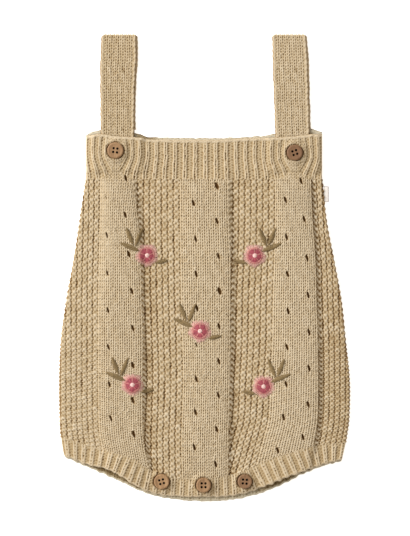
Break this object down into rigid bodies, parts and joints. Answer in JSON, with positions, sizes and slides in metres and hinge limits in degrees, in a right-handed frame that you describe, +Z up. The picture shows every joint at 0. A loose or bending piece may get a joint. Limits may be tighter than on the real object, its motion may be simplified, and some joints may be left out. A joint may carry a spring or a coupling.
{
  "type": "knitted baby bodysuit",
  "caption": "Sleeveless knitted baby bodysuit laid flat: textured bib body, ribbed neck and leg bands, folded shoulder straps and buttons at the straps and the crotch.",
  "frame": {"origin": "On the surface the garment lies on, under the middle of its outline.", "axes": "+X is the right of the garment as it lies face up, +Y runs from the crotch to the neck and straps, +Z is up from the surface."},
  "size_m": [0.2452, 0.3952, 0.0101],
  "materials": {
    "cotton_knit": "matte sand-coloured cotton knit",
    "button_wood": "turned wood, satin",
    "label_ribbon": "bare off-white woven ribbon"
  },
  "bodies": {
    "root": {"front_panel": "cotton_knit", "back_panel": "cotton_knit", "front_top_band": "cotton_knit", "back_top_band": "cotton_knit", "front_hem_band": "cotton_knit", "back_hem_band": "cotton_knit", "strap_left": "cotton_knit", "strap_right": "cotton_knit", "button_strap_left": "button_wood", "button_strap_right": "button_wood", "button_crotch_left": "button_wood", "button_crotch_center": "button_wood", "button_crotch_right": "button_wood", "side_label": "label_ribbon"}
  },
  "joints": []
}
